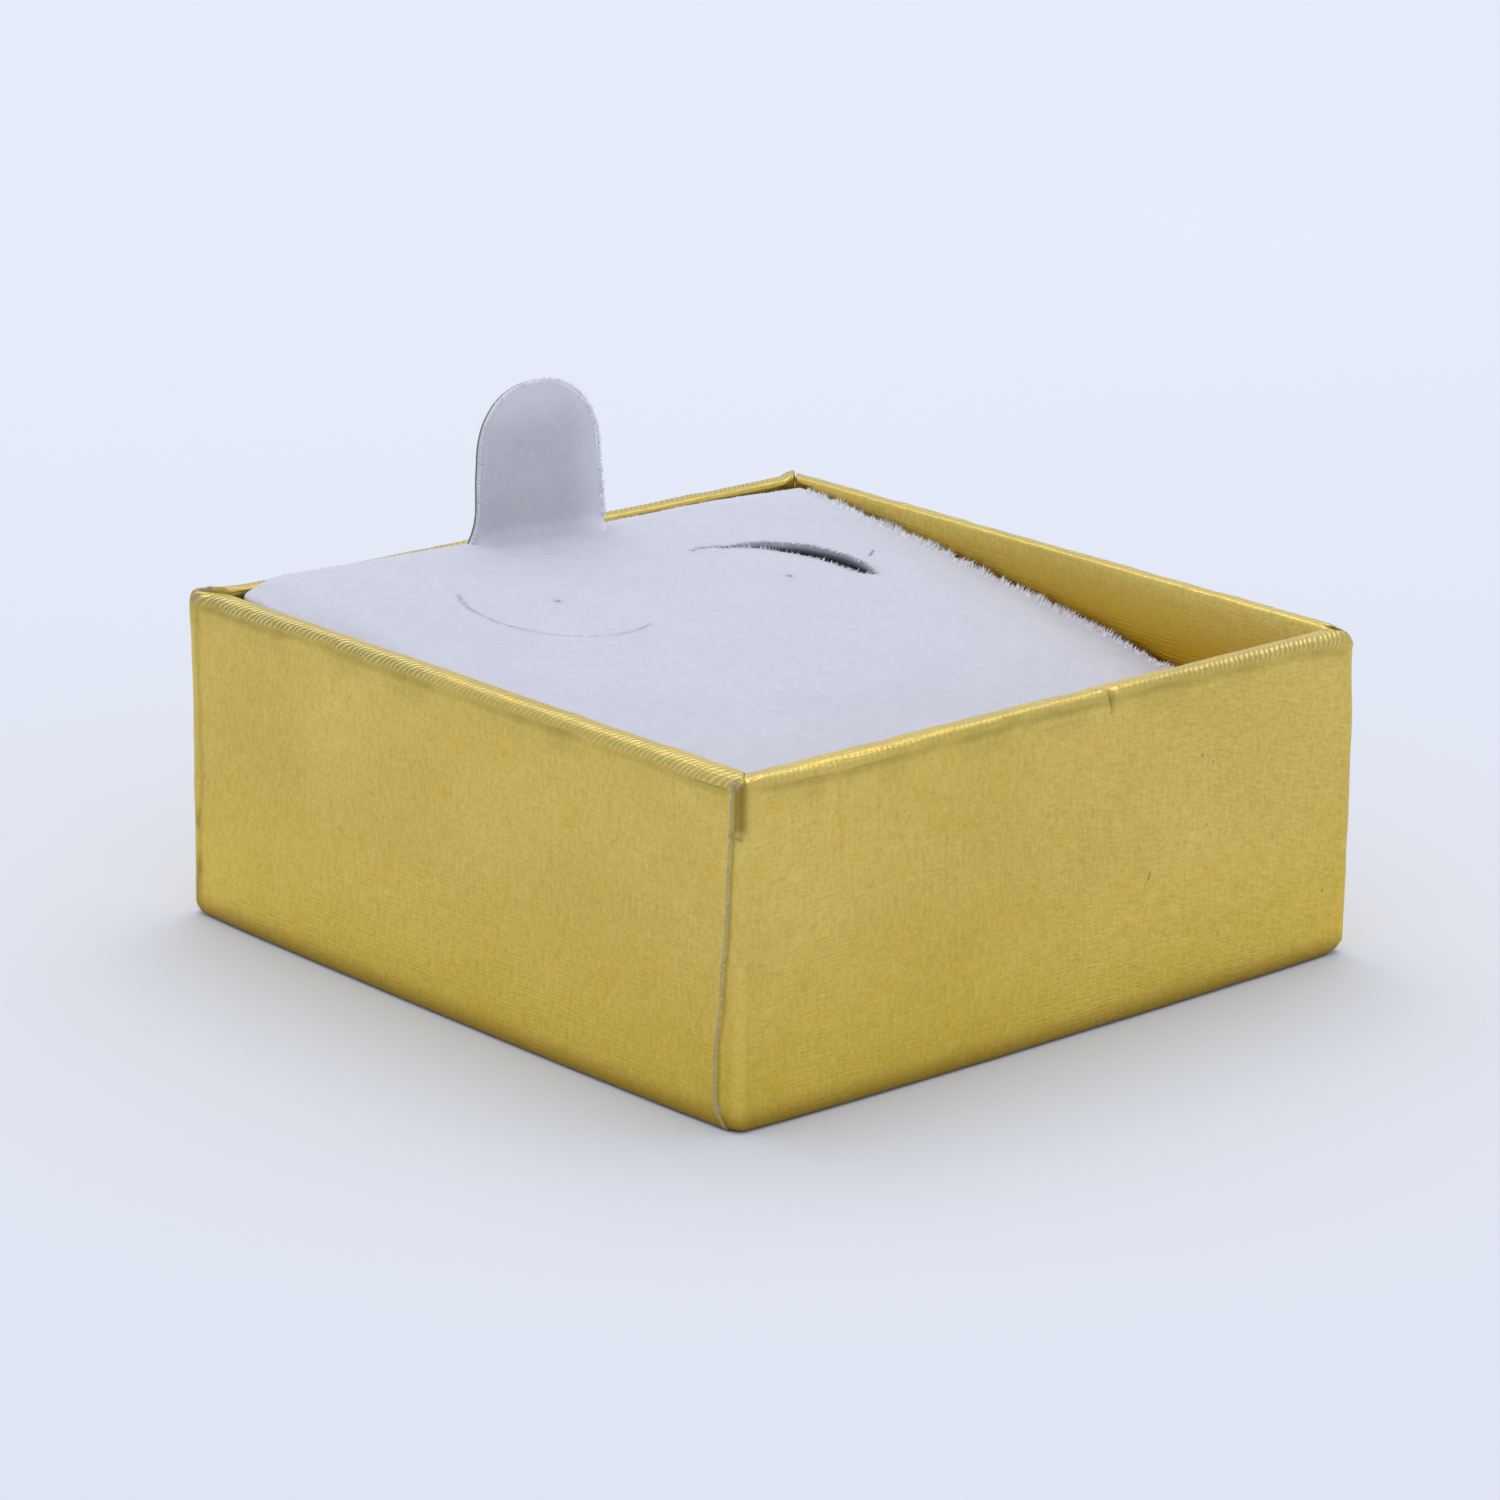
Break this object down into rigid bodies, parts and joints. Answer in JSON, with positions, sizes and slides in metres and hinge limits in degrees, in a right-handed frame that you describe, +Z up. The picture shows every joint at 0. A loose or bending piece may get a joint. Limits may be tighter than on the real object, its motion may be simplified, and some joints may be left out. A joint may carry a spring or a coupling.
{
  "type": "jewelry gift box tray",
  "caption": "Small square set-up gift box tray in gold linen foil paper, with a loose white velvet insert on foam that tips up by a round pull tab.",
  "frame": {"origin": "centre of the tray's underside, on the surface it stands on", "axes": "+Z up out of the open mouth, +Y towards the side with the pull tab, +X to the right when the tab is at the back"},
  "size_m": [0.05, 0.0506, 0.0308],
  "materials": {
    "gold_foil_paper": "satin",
    "greyboard": "matte",
    "kraft_paper": "matte",
    "white_velvet": "matte",
    "dark_foam": "matte"
  },
  "bodies": {
    "tray": {"greyboard_tray": "greyboard", "corner_stay_front_left": "kraft_paper", "corner_stay_front_right": "kraft_paper", "corner_stay_rear_left": "kraft_paper", "corner_stay_rear_right": "kraft_paper", "foil_wrap": "gold_foil_paper"},
    "insert": {"velvet_card": "white_velvet", "foam_block": "dark_foam"},
    "tab": {"pull_tab": "white_velvet"}
  },
  "joints": [
    {"name": "insert_tilt", "type": "hinge", "parent": "tray", "child": "insert", "pos_m": [0, -0.0234, 0.0134], "axis": [0.9997, 0, -0.025], "range_deg": [-5, 75]},
    {"name": "tab_fold", "type": "hinge", "parent": "insert", "child": "tab", "pos_m": [0.00009, 0.02225, 0.02083], "axis": [0.9997, 0, -0.025], "range_deg": [0, 84]}
  ]
}
